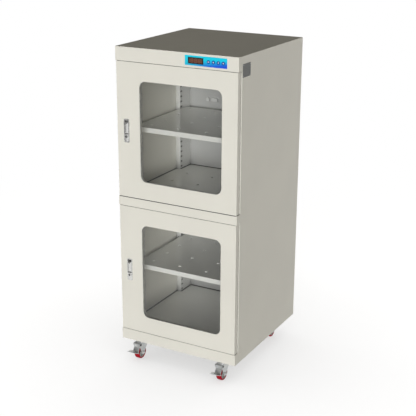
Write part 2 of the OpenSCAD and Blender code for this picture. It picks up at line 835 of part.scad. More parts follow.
// Mounting plate, fixed race and kingpin with its riveted head
module caster_plate() {
    difference() {
        block([-plate_x / 2, -plate_y / 2, caster_h - plate_t], [plate_x, plate_y, plate_t]);
        for (x = [-1, 1], y = [-1, 1]) translate([x * bolt_x / 2, y * bolt_y / 2, caster_h - plate_t - 1])
            cylinder(h = plate_t + 2, r = bolt_r);
    }
    translate([0, 0, race_z]) cylinder(h = race_h, r = race_r);
    translate([0, 0, bridge_z - clear - kingpin_head_t])
        cylinder(h = race_z - bridge_z + clear + kingpin_head_t, r = kingpin_r);
    translate([0, 0, bridge_z - clear - kingpin_head_t]) cylinder(h = kingpin_head_t, r = kingpin_head_r);
}
module caster_plates() { color(zinc) for (n = [0 : 3]) place_caster(n) caster_plate(); }

// Side view of a fork arm, in Y and Z
module arm_outline(braked) {
    lug = braked ? [[lug_y, lug_z + lug_r], [lug_y - lug_r, lug_z - 2]] : [[-26, bridge_z + bridge_t]];
    polygon(concat([[20, bridge_z + bridge_t]], lug,
        [[-trail - 10, wheel_r - 5], [-trail + 6, wheel_r - 9], [-trail + 11, wheel_r]]));
    translate([-trail, wheel_r]) circle(11);
    if (braked) translate([lug_y, lug_z]) circle(lug_r);
}

// Fork: crown on its race, bridge, two arms, axle bolt and, if braked, the brake pin
module caster_fork(braked) {
    color(zinc) {
        difference() {
            union() {
                translate([0, 0, bridge_z]) cylinder(h = crown_top - bridge_z, r = crown_r);
                block([-arm_out, -crown_r, bridge_z], [2 * arm_out, crown_r + 20, bridge_t]);
            }
            translate([0, 0, bridge_z - 1]) cylinder(h = crown_t + bridge_t + 2, r = kingpin_r + pin_fit);
        }
        for (x = [-arm_out, arm_in]) translate([x, 0, 0]) extrude_x(arm_t) arm_outline(braked);
        place_axle() {
            translate([0, 0, -arm_out - 1]) cylinder(h = 2 * arm_out + 2, r = axle_r);
            for (z = [-arm_out - 5, arm_out]) translate([0, 0, z]) cylinder(h = 5, r = 7, $fn = 6);
        }
        if (braked) translate([-arm_out - 1.5, lug_y, lug_z]) extrude_x(2 * arm_out + 3) circle(brake_pin_r);
    }
}

// Wheel centre: rim, dished web and a boss that runs on the axle bolt
module caster_hub() {
    w = wheel_w - 2;
    dish = 5;
    color(chrome) place_axle() difference() {
        union() {
            translate([0, 0, -w / 2]) cylinder(h = w, r = hub_r);
            translate([0, 0, -arm_in + clear]) cylinder(h = 2 * (arm_in - clear), r = hub_boss_r);
        }
        for (z = [-w / 2 - 1, w / 2 - dish]) translate([0, 0, z]) difference() {
            cylinder(h = dish + 1, r = hub_r - 3);
            translate([0, 0, -1]) cylinder(h = dish + 3, r = hub_boss_r);
        }
        translate([0, 0, -arm_out]) cylinder(h = 2 * arm_out, r = axle_r + pin_fit);
    }
}

// Tread with chamfered shoulders
module caster_tyre() {
    h = wheel_w / 2;
    color(red) place_axle() rotate_extrude()
        polygon([[hub_r, -h + 1], [hub_r + 1, -h], [wheel_r - 2.5, -h], [wheel_r - 0.8, -h + 1.8],
                 [wheel_r, -h + 5], [wheel_r, h - 5], [wheel_r - 0.8, h - 1.8], [wheel_r - 2.5, h],
                 [hub_r + 1, h], [hub_r, h - 1]]);
}

// Brake pedal: boss on the brake pin, web, hood round the tread and toe plate
module brake_pedal() {
    hood_w = 2 * (arm_in - clear);
    hood_low = 12;
    hood_high = 82;
    web_at = 58;
    toe_t = 2.5;
    mid_r = hood_r + hood_t / 2;
    function on_hood(a, r) = [-trail - r * cos(a), wheel_r + r * sin(a)];
    root = on_hood(hood_low, mid_r);
    color(zinc) {
        difference() {
            union() {
                translate([-hood_w / 2, 0, 0]) extrude_x(hood_w) {
                    translate([lug_y, lug_z]) circle(lug_r - 1.5);
                    polygon([[lug_y - 4, lug_z - 3], [lug_y + 4, lug_z + 3],
                             on_hood(web_at + 8, mid_r), on_hood(web_at - 8, mid_r)]);
                }
                translate([-hood_w / 2, -trail, wheel_r]) rotate([0, 90, 0]) intersection() {
                    difference() {
                        cylinder(h = hood_w, r = hood_r + hood_t);
                        translate([0, 0, -1]) cylinder(h = hood_w + 2, r = hood_r);
                    }
                    linear_extrude(hood_w) polygon([[0, 0], 2 * hood_r * [-sin(hood_low), -cos(hood_low)],
                        3 * hood_r * [-sin(45), -cos(45)], 2 * hood_r * [-sin(hood_high), -cos(hood_high)]]);
                }
            }
            translate([-hood_w, lug_y, lug_z]) extrude_x(2 * hood_w) circle(brake_pin_r + pin_fit);
        }
        translate([-pedal_w / 2, 0, 0]) extrude_x(pedal_w)
            polygon([root, root + [-2, toe_t], [-pedal_reach, toe_z + toe_t / 2],
                     [-pedal_reach, toe_z - toe_t / 2], root + [-1, -toe_t / 2]]);
    }
}

module caster_fork_fl() { place_caster(0) caster_fork(true); }
module caster_hub_fl() { place_caster(0) caster_hub(); }
module caster_tyre_fl() { place_caster(0) caster_tyre(); }
module brake_pedal_fl() { place_caster(0) brake_pedal(); }
module caster_fork_fr() { place_caster(1) caster_fork(true); }
module caster_hub_fr() { place_caster(1) caster_hub(); }
module caster_tyre_fr() { place_caster(1) caster_tyre(); }
module brake_pedal_fr() { place_caster(1) brake_pedal(); }
module caster_fork_rl() { place_caster(2) caster_fork(false); }
module caster_hub_rl() { place_caster(2) caster_hub(); }
module caster_tyre_rl() { place_caster(2) caster_tyre(); }
module caster_fork_rr() { place_caster(3) caster_fork(false); }
module caster_hub_rr() { place_caster(3) caster_hub(); }
module caster_tyre_rr() { place_caster(3) caster_tyre(); }

side_panel_left();
side_panel_right();
back_panel();
top_panel();
header();
ceiling_panel();
mullion();
divider();
floor_panel();
base_pan();
bottom_rail();
uprights_front();
uprights_rear();
shelf_upper();
shelf_lower();
shelf_clips();
hinge_pins();
control_panel();
display_window();
controller_box();
button_1();
button_2();
button_3();
button_4();
humidity_sensor();
drying_unit();
rear_cover();
power_inlet();
caster_plates();
door_frame_upper();
door_liner_upper();
door_glass_upper();
glazing_seal_upper();
door_gasket_upper();
handle_housing_upper();
handle_lever_upper();
door_lock_upper();
door_frame_lower();
door_liner_lower();
door_glass_lower();
glazing_seal_lower();
door_gasket_lower();
handle_housing_lower();
handle_lever_lower();
door_lock_lower();
caster_fork_fl();
caster_hub_fl();
caster_tyre_fl();
brake_pedal_fl();
caster_fork_fr();
caster_hub_fr();
caster_tyre_fr();
brake_pedal_fr();
caster_fork_rl();
caster_hub_rl();
caster_tyre_rl();
caster_fork_rr();
caster_hub_rr();
caster_tyre_rr();
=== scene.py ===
"""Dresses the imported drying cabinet: camera, light, finishes, and the small parts that the
solids leave out. Lengths are in metres. The front looks along -Y and the right side along +X."""
import math

import bpy
import numpy as np
from mathutils import Matrix, Vector


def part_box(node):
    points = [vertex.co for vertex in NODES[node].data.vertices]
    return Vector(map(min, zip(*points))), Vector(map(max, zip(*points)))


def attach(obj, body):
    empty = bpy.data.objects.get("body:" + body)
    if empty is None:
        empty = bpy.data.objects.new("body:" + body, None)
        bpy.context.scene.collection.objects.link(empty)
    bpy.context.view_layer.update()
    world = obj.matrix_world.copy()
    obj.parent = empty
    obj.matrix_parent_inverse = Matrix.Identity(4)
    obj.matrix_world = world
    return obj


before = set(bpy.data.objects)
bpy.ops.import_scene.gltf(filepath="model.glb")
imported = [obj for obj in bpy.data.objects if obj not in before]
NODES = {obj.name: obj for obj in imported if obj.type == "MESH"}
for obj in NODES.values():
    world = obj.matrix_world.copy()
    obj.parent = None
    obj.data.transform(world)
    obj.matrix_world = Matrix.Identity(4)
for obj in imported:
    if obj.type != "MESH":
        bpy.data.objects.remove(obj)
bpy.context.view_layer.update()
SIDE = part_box("side_panel_right")[1].x  # outer face of the right side panel


# ---- Camera ----

FRAME_PX, FOCAL_PX = 416, 957.2  # width of the rendered frame and focal length, in its pixels
SENSOR_MM = 36.0
CAMERA_PLACE = (2.0381, -3.7351, 2.1311)
YAW, PITCH, ROLL = 28.738, -18.520, -0.236  # degrees


def make_camera():
    """Puts the camera at its place with yaw, pitch and roll, in that order, turned from a view
    along +Y."""
    data = bpy.data.cameras.new("camera")
    data.sensor_width = SENSOR_MM
    data.lens = FOCAL_PX / FRAME_PX * SENSOR_MM
    data.clip_start, data.clip_end = 0.1, 200.0
    camera = bpy.data.objects.new("camera", data)
    bpy.context.scene.collection.objects.link(camera)
    turn = (Matrix.Rotation(math.radians(YAW), 3, "Z")
            @ Matrix.Rotation(math.radians(PITCH), 3, "X")
            @ Matrix.Rotation(math.radians(ROLL), 3, "Y")
            @ Matrix.Rotation(math.radians(90), 3, "X"))
    camera.matrix_world = Matrix.Translation(CAMERA_PLACE) @ turn.to_4x4()
    bpy.context.scene.camera = camera


# ---- Shader arithmetic ----

class Value:
    """An output socket of a shader node, with arithmetic that adds Math nodes."""

    def __init__(self, tree, socket):
        self.tree, self.socket = tree, socket

    def math(self, operation, *others, clamp=False):
        """A Math node of an operation on this value and others."""
        node = self.tree.nodes.new("ShaderNodeMath")
        node.operation, node.use_clamp = operation, clamp
        for socket, value in zip(node.inputs, (self,) + others):
            feed(self.tree, socket, value)
        return Value(self.tree, node.outputs[0])

    def __add__(self, other): return self.math("ADD", other)
    def __radd__(self, other): return self.math("ADD", other)
    def __sub__(self, other): return self.math("SUBTRACT", other)
    def __rsub__(self, other): return (self * -1.0) + other
    def __mul__(self, other): return self.math("MULTIPLY", other)
    def __rmul__(self, other): return self.math("MULTIPLY", other)
    def __truediv__(self, other): return self.math("DIVIDE", other)

    def ramp(self, low, high):
        """Goes smoothly from 0 at low to 1 at high."""
        node = self.tree.nodes.new("ShaderNodeMapRange")
        node.interpolation_type = "SMOOTHSTEP"
        feed(self.tree, node.inputs["Value"], self)
        node.inputs["From Min"].default_value = low
        node.inputs["From Max"].default_value = high
        return Value(self.tree, node.outputs[0])

    def between(self, rise, fall):
        """Goes smoothly from 0 to 1 over the stretch of rise, and back to 0 over that of fall."""
        return self.ramp(*rise) * (1.0 - self.ramp(*fall))


def feed(tree, socket, value):
    """Links a Value to a socket, or writes a constant on it. A colour of three gets alpha 1."""
    if isinstance(value, Value):
        tree.links.new(value.socket, socket)
    elif isinstance(value, tuple) and len(value) == 3 and len(socket.default_value) == 4:
        socket.default_value = (*value, 1.0)
    else:
        socket.default_value = value


class Shading:
    """The nodes of a material or of the world. Patterns are in object space."""

    def __init__(self, owner, output):
        owner.use_nodes = True
        self.tree = owner.node_tree
        self.tree.nodes.clear()
        self.out = self.tree.nodes.new("ShaderNodeOutput" + output)
        self.coords = None

    def node(self, kind, output=0, settings=None, **inputs):
        """Adds a node of a kind, sets its settings and then its inputs, and returns one of its
        outputs. An input is given by its name, or by its number as _0, _1 and so on."""
        node = self.tree.nodes.new("ShaderNode" + kind)
        for key, value in (settings or {}).items():
            setattr(node, key, value)
        for key, value in inputs.items():
            which = int(key[1:]) if key[1:].isdigit() else key.replace("_", " ")
            feed(self.tree, node.inputs[which], value)
        return Value(self.tree, node.outputs[output])

    def show(self, shader):
        """Takes a shader as the surface."""
        feed(self.tree, self.out.inputs["Surface"], shader)

    def place(self):
        """The place on the object, from one node for each material."""
        if self.coords is None:
            self.coords = self.node("TexCoord", "Object")
        return self.coords

    def axis(self, which):
        """One coordinate of the place on the object, in metres."""
        return self.node("SeparateXYZ", "XYZ".index(which), Vector=self.place())

    def share(self, which, start, end):
        """Goes straight from 0 at start to 1 at end, along an axis."""
        return (self.axis(which) - start) / (end - start)

    def noise(self, scale, stretch=(1, 1, 1), detail=2.0):
        """Smooth noise from 0 to 1 with scale cells a metre, times stretch along each axis."""
        where = self.place()
        if stretch != (1, 1, 1):
            where = self.node("VectorMath", settings={"operation": "MULTIPLY"},
                              _0=where, _1=stretch)
        return self.node("TexNoise", Vector=where, Scale=scale, Detail=detail)

    def ray(self, kind):
        """1 for rays of a kind and 0 for the others."""
        return self.node("LightPath", f"Is {kind} Ray")

    def openness(self, reach, samples):
        """1 where nothing stands within reach of the surface, and 0 where all round is shut."""
        return self.node("AmbientOcclusion", 1, {"samples": samples}, Distance=reach)

    def mix(self, factor, low, high):
        """Mixes two colours."""
        return self.node("Mix", 2, {"data_type": "RGBA"}, _0=factor, _6=low, _7=high)

    def blend(self, factor, low, high):
        """Mixes two shaders."""
        return self.node("MixShader", _0=factor, _1=low, _2=high)


class Finish(Shading):
    """A procedural material. Constants go straight on the sockets of its principled shader,
    which it has unless shader is False."""

    def __init__(self, name, shader=True, **constants):
        self.material = bpy.data.materials.new(name)
        super().__init__(self.material, "Material")
        if shader:
            self.surface = self.tree.nodes.new("ShaderNodeBsdfPrincipled")
            self.tree.links.new(self.surface.outputs[0], self.out.inputs["Surface"])
            for key, value in constants.items():
                self.surface.inputs[key.replace("_", " ")].default_value = value

    def colour(self, value):
        feed(self.tree, self.surface.inputs["Base Color"], value)

    def rough(self, value):
        feed(self.tree, self.surface.inputs["Roughness"], value)

    def bump(self, height, depth):
        """Bumps the surface by height, a value from 0 to 1, times depth in metres."""
        normal = self.node("Bump", Height=height, Distance=depth, Strength=1.0)
        feed(self.tree, self.surface.inputs["Normal"], normal)


def shade(colour, by):
    """A colour times a number."""
    return tuple(c * by for c in colour)


# ---- Finishes ----

WHITE, UNLIT = (1.0, 1.0, 1.0), (0.0, 0.0, 0.0)
PAINT_LINE = 0.0004  # width of the change between two paints on one sheet


def crevice_shade(f, tone, colour):
    """A tone that goes to a dark shade of a colour in gaps, slots and inside corners, where the
    surface is shut in: painted shade.
    """
    reach, shut, clear = 0.05, 0.10, 0.58  # painted shade where openness is shut, none where it's clear
    cover, darkness = 0.9, 0.10
    # This mask is painted shade: near 1 where the surface is shut in by what stands round it.
    dust = 1.0 - f.openness(reach, samples=8).ramp(shut, clear)
    return f.mix(dust * cover, tone, shade(colour, darkness))


def powder_coat(name, colour, roughness, inside=None):
    """Baked powder paint: orange peel of about 1.5 mm, with slow changes of tone and gloss.
    Where inside is given, as a colour and a depth along Y, the sheet has that colour in front
    of that depth."""
    f = Finish(name, Specular_IOR_Level=0.35)
    slow, peel = f.noise(scale=3.1, detail=3.0), f.noise(scale=650.0, detail=1.0)
    tone = f.mix(slow.ramp(0.3, 0.7), shade(colour, 0.975), shade(colour, 1.015))
    if inside:
        other, depth = inside
        tone = f.mix(f.axis("Y").ramp(depth, depth + PAINT_LINE), other, tone)
    # Base colour with painted shade in gaps, slots and inside corners.
    f.colour(crevice_shade(f, tone, colour))
    f.rough(slow * 0.08 + peel * 0.06 + (roughness - 0.07))
    f.bump(peel, depth=0.00006)
    return f.material


def gloss_coat(name, colour):
    """Smooth stoved enamel of the shelves and floors: glossy enough to mirror the walls softly."""
    f = Finish(name, Specular_IOR_Level=0.9, Coat_Weight=0.5, Coat_Roughness=0.10)
    slow, fine = f.noise(scale=4.0, detail=3.0), f.noise(scale=300.0, detail=1.0)
    tone = f.mix(slow.ramp(0.3, 0.7), shade(colour, 0.97), shade(colour, 1.02))
    # Base colour with painted shade in gaps, slots and inside corners.
    f.colour(crevice_shade(f, tone, colour))
    f.rough(slow * 0.06 + 0.16)
    f.bump(fine, depth=0.00002)
    return f.material


def zinc_plate(name):
    """Bright zinc plate: faint blue and straw patches and a fine grain, drawn out along Z."""
    f = Finish(name, Metallic=0.65)
    patch = f.noise(scale=70.0, detail=3.0)
    grain = f.noise(scale=900.0, stretch=(1, 1, 0.15))
    blue, straw = (0.62, 0.65, 0.655), (0.73, 0.735, 0.72)
    f.colour(f.mix(patch.ramp(0.35, 0.65), blue, straw))
    f.rough(patch * 0.14 + grain * 0.08 + 0.30)
    f.bump(grain, depth=0.00002)
    return f.material


def satin_chrome(name):
    """Chrome over brushed zinc: long faint streaks up and down."""
    f = Finish(name, Metallic=0.85)
    streak = f.noise(scale=1400.0, stretch=(1, 1, 0.05))
    haze = f.noise(scale=90.0, detail=3.0)
    dull, bright = (0.64, 0.64, 0.625), (0.74, 0.74, 0.72)
    f.colour(f.mix(haze, dull, bright))
    f.rough(streak * 0.10 + haze * 0.06 + 0.18)
    f.bump(streak, depth=0.00001)
    return f.material


def cast_metal(name):
    """Die-cast aluminium wheel centre: a close bright grain with slow patches of tone."""
    f = Finish(name, Metallic=0.6)
    grain, patch = f.noise(scale=1200.0, detail=3.0), f.noise(scale=120.0)
    dull, bright = (0.44, 0.45, 0.43), (0.54, 0.55, 0.53)
    f.colour(f.mix(patch, dull, bright))
    f.rough(grain * 0.2 + 0.30)
    f.bump(grain, depth=0.00005)
    return f.material


def red_tread(name):
    """Cast polyurethane: deep red, semi-gloss, with a little dust in patches."""
    f = Finish(name, Specular_IOR_Level=0.15)
    fine, dust = f.noise(scale=700.0, detail=3.0), f.noise(scale=160.0, detail=4.0)
    red, dusted = (0.34, 0.002, 0.012), (0.34, 0.02, 0.03)
    f.colour(f.mix(dust.ramp(0.52, 0.75) * 0.3, red, dusted))
    f.rough(dust * 0.2 + 0.38)
    f.bump(fine, depth=0.00003)
    return f.material


def rubber(name, colour):
    """Extruded rubber: matt, with a fine grain and a light bloom."""
    f = Finish(name, Specular_IOR_Level=0.35)
    bloom, grain = f.noise(scale=45.0, detail=3.0), f.noise(scale=1500.0)
    bloomed = tuple(c * 1.35 + 0.006 for c in colour)
    f.colour(f.mix(bloom.ramp(0.3, 0.8), colour, bloomed))
    f.rough(bloom * 0.15 + 0.55)
    f.bump(grain, depth=0.00003)
    return f.material


def moulded(name, colour, roughness, scale=600.0, depth=0.00006):
    """Moulded plastic with a fine spark-eroded grain of scale cells a metre."""
    f = Finish(name, Specular_IOR_Level=0.4)
    spark, tone = f.noise(scale, detail=3.0), f.noise(scale=25.0)
    f.colour(f.mix(tone, shade(colour, 0.93), shade(colour, 1.05)))
    f.rough(spark * 0.12 + (roughness - 0.06))
    f.bump(spark, depth)
    return f.material


def window_glass(name):
    """Clear float glass as a thin pane: it mirrors by Fresnel and lets the rest through with a
    faint tint."""
    f = Finish(name, shader=False)
    smear = f.noise(scale=9.0, detail=4.0)
    tint, refraction, mirror_level = (0.950, 0.953, 0.950), 1.45, 0.45
    clear = f.node("BsdfTransparent", Color=tint)
    mirror = f.node("BsdfGlossy", Color=WHITE, Roughness=smear * 0.03 + 0.01)
    f.show(f.blend(f.node("Fresnel", IOR=refraction) * mirror_level, clear, mirror))
    return f.material


def panel_film(name):
    """Printed film: cyan at the top, going to deep blue towards the lower right corner."""
    low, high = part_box("control_panel")
    f = Finish(name, Coat_Weight=0.3, Coat_Roughness=0.15)
    across, down = f.share("X", low.x, high.x), f.share("Z", high.z, low.z)
    cyan, teal, deep_blue = (0.0, 0.66, 0.86), (0.02, 0.46, 0.62), (0.002, 0.085, 0.74)
    corner = (down * (across * 0.75 + 0.3)).ramp(0.16, 0.86)
    f.colour(f.mix(corner, f.mix(down.ramp(0.2, 0.95) * 0.55, cyan, teal), deep_blue))
    f.rough(f.noise(scale=500.0) * 0.08 + 0.28)
    f.bump(f.noise(scale=900.0, detail=1.0), depth=0.00001)
    return f.material


def display_filter(name):
    """Dark red filter window with the unlit digit module showing through as a brown band."""
    low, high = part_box("display_window")
    f = Finish(name, Coat_Weight=0.6, Coat_Roughness=0.05)
    across, up = f.share("X", low.x, high.x), f.share("Z", low.z, high.z)
    band = (across.between(rise=(0.05, 0.12), fall=(0.90, 0.96))
            * up.between(rise=(0.14, 0.24), fall=(0.74, 0.86)))
    haze = f.noise(scale=60.0, detail=3.0)
    dark, brown, light_brown = (0.012, 0.006, 0.007), (0.105, 0.036, 0.020), (0.165, 0.058, 0.030)
    f.colour(f.mix(band, dark, f.mix(haze, brown, light_brown)))
    f.rough(haze * 0.06 + 0.10)
    return f.material


def plate_metal(name):
    """Dark brushed aluminium of the data plate, brushed along Y."""
    f = Finish(name, Metallic=0.5)
    brush, haze = f.noise(scale=1500.0, stretch=(1, 0.04, 1)), f.noise(scale=30.0)
    dull, bright = (0.12, 0.125, 0.12), (0.17, 0.17, 0.165)
    f.colour(f.mix(haze, dull, bright))
    f.rough(brush * 0.15 + 0.36)
    f.bump(brush, depth=0.00002)
    return f.material


# ---- Mesh makers ----
#
# A shape is its points, as one array, and its faces, as a list of arrays: each holds the point
# numbers of faces that have the same number of corners.

X, Y, Z = (1, 0, 0), (0, 1, 0), (0, 0, 1)
OUT, DOWN = (0, -1, 0), (0, 0, -1)
SINK = 0.0003  # how far a head goes into what it sits on


def solid(name, shape, finish, body, smooth=40.0):
    """Makes a mesh piece of a shape with its object at the origin, gives it a finish and lets it
    ride on a body. Edges that turn by more than smooth degrees stay sharp."""
    points, blocks = shape
    mesh = bpy.data.meshes.new(name)
    mesh.from_pydata(points.tolist(), [], [face for block in blocks for face in block.tolist()])
    mesh.validate()
    mesh.materials.append(finish)
    piece = bpy.data.objects.new(name, mesh)
    bpy.context.scene.collection.objects.link(piece)
    mesh.shade_smooth()
    mesh.set_sharp_from_angle(angle=math.radians(smooth))
    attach(piece, body)


def joined(shapes):
    """Puts several shapes into one: the point numbers of each go up by the points before it."""
    starts = np.cumsum([0] + [len(points) for points, _ in shapes])
    faces = [block + start for start, (_, blocks) in zip(starts, shapes) for block in blocks]
    return np.vstack([points for points, _ in shapes]), faces


def frame_of(normal):
    """Two axes square to a normal, right-handed with it: u = n x up, v = n x u."""
    n = np.array(normal, float) / np.linalg.norm(normal)
    u = np.cross(n, Z if abs(n[2]) < 0.9 else Y)
    u /= np.linalg.norm(u)
    return u, np.cross(n, u), n


def lathe(profile, centre, normal, sides):
    """Turns a profile of (r, h) pairs about an axis: point = centre + r cos(a) u + r sin(a) v
    + h n. The profile starts and ends at r = 0, where the surface closes in a pole."""
    u, v, n = frame_of(normal)
    r, h = np.array(profile, float).T
    k = np.arange(sides)
    a = k * 2 * math.pi / sides
    spokes = np.cos(a)[:, None] * u + np.sin(a)[:, None] * v
    rings = r[1:-1, None, None] * spokes + h[1:-1, None, None] * n
    points = np.array(centre) + np.vstack([h[0] * n, rings.reshape(-1, 3), h[-1] * n])
    following, pole = (k + 1) % sides, 0 * k
    last = 1 + (len(r) - 3) * sides
    ring = np.arange(1, last, sides)[:, None]
    walls = np.stack([ring + k, ring + following,
                      ring + following + sides, ring + k + sides], axis=-1)
    start = np.stack([pole, 1 + following, 1 + k], axis=-1)
    end = np.stack([last + k, last + following, pole + last + sides], axis=-1)
    return points, [start, walls.reshape(-1, 4), end]


def prism(outline, origin, u, v, n, depth, edge):
    """Extrudes a closed outline of (a, b) pairs: point = origin + a u + b v + h n, for h from 0
    to depth, and over the last edge of the depth the outline is drawn in by edge towards its
    middle. The faces point outwards whichever way round the outline and the axes go."""
    u, v, n = np.array((u, v, n), float)
    outline = np.array(outline, float)
    middle = outline.mean(0)
    reach = np.linalg.norm(outline - middle, axis=1, keepdims=True)
    inner = middle + (outline - middle) * (1 - edge / reach)
    rings = ((outline, 0.0), (outline, depth - edge), (inner, depth))
    points = np.array(origin) + np.vstack([ring @ np.array((u, v)) + h * n for ring, h in rings])
    count = len(outline)
    k = np.arange(count)
    following = (k + 1) % count
    wall = np.stack([k, following, following + count, k + count], axis=-1)
    faces = [k[None, ::-1], 2 * count + k[None], wall, wall + count]
    a, b = outline.T
    area = (a * np.roll(b, -1) - np.roll(a, -1) * b).sum()
    if area * np.dot(np.cross(u, v), n) < 0:
        faces = [block[:, ::-1] for block in faces]
    return points, faces


def arc(r, h, angles):
    """Points of an ellipse, (r cos(a), h sin(a)), at the angles a."""
    return np.column_stack([r * np.cos(angles), h * np.sin(angles)])


def oblong(w, h):
    """Outline of a rectangle w by h about the origin."""
    return np.array([(-1, -1), (1, -1), (1, 1), (-1, 1)]) * (w / 2, h / 2)


def rounded(w, h, r, steps=6):
    """Outline of a rectangle w by h about the origin: at each corner a quarter circle of radius
    r, r inside both sides."""
    corners = np.array([(1, 1), (-1, 1), (-1, -1), (1, -1)]) * (w / 2 - r, h / 2 - r)
    quarter = math.pi / 2
    return np.vstack([corner + arc(r, r, k * quarter + np.linspace(0, quarter, steps + 1))
                      for k, corner in enumerate(corners)])


def dome(r, h):
    """Profile of a low round head of radius r and height h, standing on h = 0: a quarter of an
    ellipse above a short straight foot."""
    top = arc(r, h, np.linspace(0, math.pi / 2, 5, endpoint=False))
    return np.vstack([(0, -SINK), (r, -SINK), top, (0, h)])


def screw(centre, normal):
    """Pan-head screw: a low dome, an ellipse turned about its axis, with a small dished middle."""
    r, h = 0.004, 0.0022
    foot, top = [(0, -SINK), (r, -SINK)], arc(r, h, np.linspace(0, 1.2, 5))
    dish = [(r * 0.3, h * 0.98), (r * 0.22, h * 0.45), (0, h * 0.35)]
    return lathe(np.vstack([foot, top, dish]), centre, normal, sides=20)


make_camera()

# ---- Finishes of the solids ----

IVORY = (0.790, 0.778, 0.700)
INNER = (0.68, 0.68, 0.655)
# The inside of the back panel is the inner paint at 0.72: painted shade, darker than the other
# inner sheets because the back wall lies deeper in shade.
SHADED_BACK_INNER = shade(INNER, 0.72)
back_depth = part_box("back_panel")[0].y + PAINT_LINE

ivory = powder_coat("ivory_powder_coat", IVORY, roughness=0.42)
inner = powder_coat("inner_powder_coat", INNER, roughness=0.40)
back = powder_coat("back_powder_coat", IVORY, roughness=0.42, inside=(SHADED_BACK_INNER, back_depth))
shelf = gloss_coat("shelf_gloss_coat", (0.84, 0.84, 0.79))
zinc = zinc_plate("zinc_plate")
chrome = satin_chrome("satin_chrome")
black = moulded("black_moulding", (0.022, 0.022, 0.023), roughness=0.5)

# A solid takes the finish of the longest of these names that its own starts with, or ivory.
FINISHES = {
    "uprights": inner, "ceiling_panel": inner, "back_panel": back,
    "divider": shelf, "floor_panel": shelf, "shelf_upper": shelf, "shelf_lower": shelf,
    "shelf_clips": zinc, "hinge_pins": zinc,
    "caster_plates": zinc, "caster_fork": zinc, "brake_pedal": zinc,
    "handle": chrome, "door_lock": chrome,
    "door_glass": window_glass("window_glass"),
    "glazing_seal": rubber("glazing_rubber", (0.30, 0.30, 0.285)),
    "door_gasket": rubber("gasket_rubber", (0.20, 0.20, 0.19)),
    "control_panel": panel_film("panel_film"),
    "display_window": display_filter("display_filter"),
    "button": moulded("button_blue", (0.018, 0.10, 0.36), 0.24, scale=900.0, depth=0.00001),
    "humidity_sensor": moulded("sensor_grey", (0.64, 0.64, 0.62), roughness=0.35),
    "controller_box": black, "power_inlet": black,
    "drying_unit": moulded("module_grey", (0.20, 0.21, 0.22), roughness=0.5),
    "caster_hub": cast_metal("cast_metal"),
    "caster_tyre": red_tread("red_tread"),
}
for name, node in NODES.items():
    keys = [key for key in FINISHES if name.startswith(key)]
    finish = FINISHES[max(keys, key=len)] if keys else ivory
    for slot in node.material_slots:
        slot.material = finish


# ---- Small parts ----

CORNERS = ("fl", "fr", "rl", "rr")  # casters: front or rear, left or right


def middle_of(node):
    """Middle of a node's box, as X, Y and Z."""
    low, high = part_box(node)
    return (low + high) / 2


def side_plate():
    """Blank data plate near the front top of the right side: a rounded rectangle extruded along
    X, with a domed rivet turned about X in each corner."""
    w, h, corner, thick, edge = 0.070, 0.056, 0.003, 0.0008, 0.0002
    y, z = -0.240, 1.4225
    inset, rivet = 0.005, dome(r=0.0018, h=0.0008)
    solid("side_plate", prism(rounded(w, h, corner), (SIDE, y, z), Y, Z, X, thick, edge),
          plate_metal("plate_metal"), "cabinet")
    rivets = [lathe(rivet, (SIDE + thick, y + a * (w / 2 - inset), z + b * (h / 2 - inset)), X, 16)
              for a in (-1, 1) for b in (-1, 1)]
    solid("side_plate_rivets", joined(rivets), zinc, "cabinet")


def button_marks():
    """Generic marks printed on the keys, as flat extruded outlines: a bar, a triangle each way
    and a round dot."""
    white = moulded("mark_white", (0.80, 0.82, 0.84), 0.35, scale=900.0, depth=0.00001)
    thick, sink, edge = 0.0003, 0.0001, 0.0001
    bar, triangle_r, dot_r = oblong(0.0088, 0.0026), 0.0036, 0.0024
    triangle = arc(triangle_r, triangle_r, math.pi / 2 + np.arange(3) * 2 * math.pi / 3)
    dot = arc(dot_r, dot_r, np.linspace(0, 2 * math.pi, 24, endpoint=False))
    for number, outline in enumerate((bar, -triangle, triangle, dot), start=1):
        key = f"button_{number}"
        middle, face = middle_of(key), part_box(key)[0].y
        shape = prism(outline, (middle.x, face + sink, middle.z), X, Z, OUT, thick, edge)
        solid(f"button_mark_{number}", shape, white, key)


def display_digits():
    """Three unlit seven-segment digits on the filter window: each segment is a flat extruded
    bar, pointed at both ends."""
    middle, face = middle_of("display_window"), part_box("display_window")[0].y
    unlit = moulded("unlit_segment", (0.19, 0.070, 0.038), roughness=0.3)
    w, h, t, gap, pitch = 0.0085, 0.0088, 0.0017, 0.0005, 0.017325
    thick, sink, edge = 0.0002, 0.0001, 0.00005
    flat = [(0, k * h) for k in (-1, 0, 1)]
    upright = [(a * w / 2, b * h / 2) for a in (-1, 1) for b in (-1, 1)]
    segments = []
    for digit in (-1, 0, 1):
        for places, length, u, v in ((flat, w, X, Z), (upright, h, Z, (-1, 0, 0))):
            half = length / 2 - gap
            bar = [(-half, 0), (t / 2 - half, -t / 2), (half - t / 2, -t / 2), (half, 0),
                   (half - t / 2, t / 2), (t / 2 - half, t / 2)]
            for x, z in places:
                origin = (middle.x + digit * pitch + x, face + sink, middle.z + z)
                segments.append(prism(bar, origin, u, v, OUT, thick, edge))
    solid("display_digits", joined(segments), unlit, "cabinet")


def lock_shutters():
    """Black dust shutters over the keyways: low discs with a raised rim, a profile turned about
    the axis of each lock cylinder."""
    below_middle = 0.026
    profile = [(0, -0.0002), (0.0046, -0.0002), (0.0046, 0.0004), (0.0040, 0.0007),
               (0.0033, 0.0004), (0, 0.0002)]
    for door in ("upper", "lower"):
        housing, face = middle_of("handle_housing_" + door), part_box("door_lock_" + door)[0].y
        shape = lathe(profile, (housing.x, face, housing.z - below_middle), OUT, sides=24)
        solid("lock_shutter_" + door, shape, black, "lock_" + door)


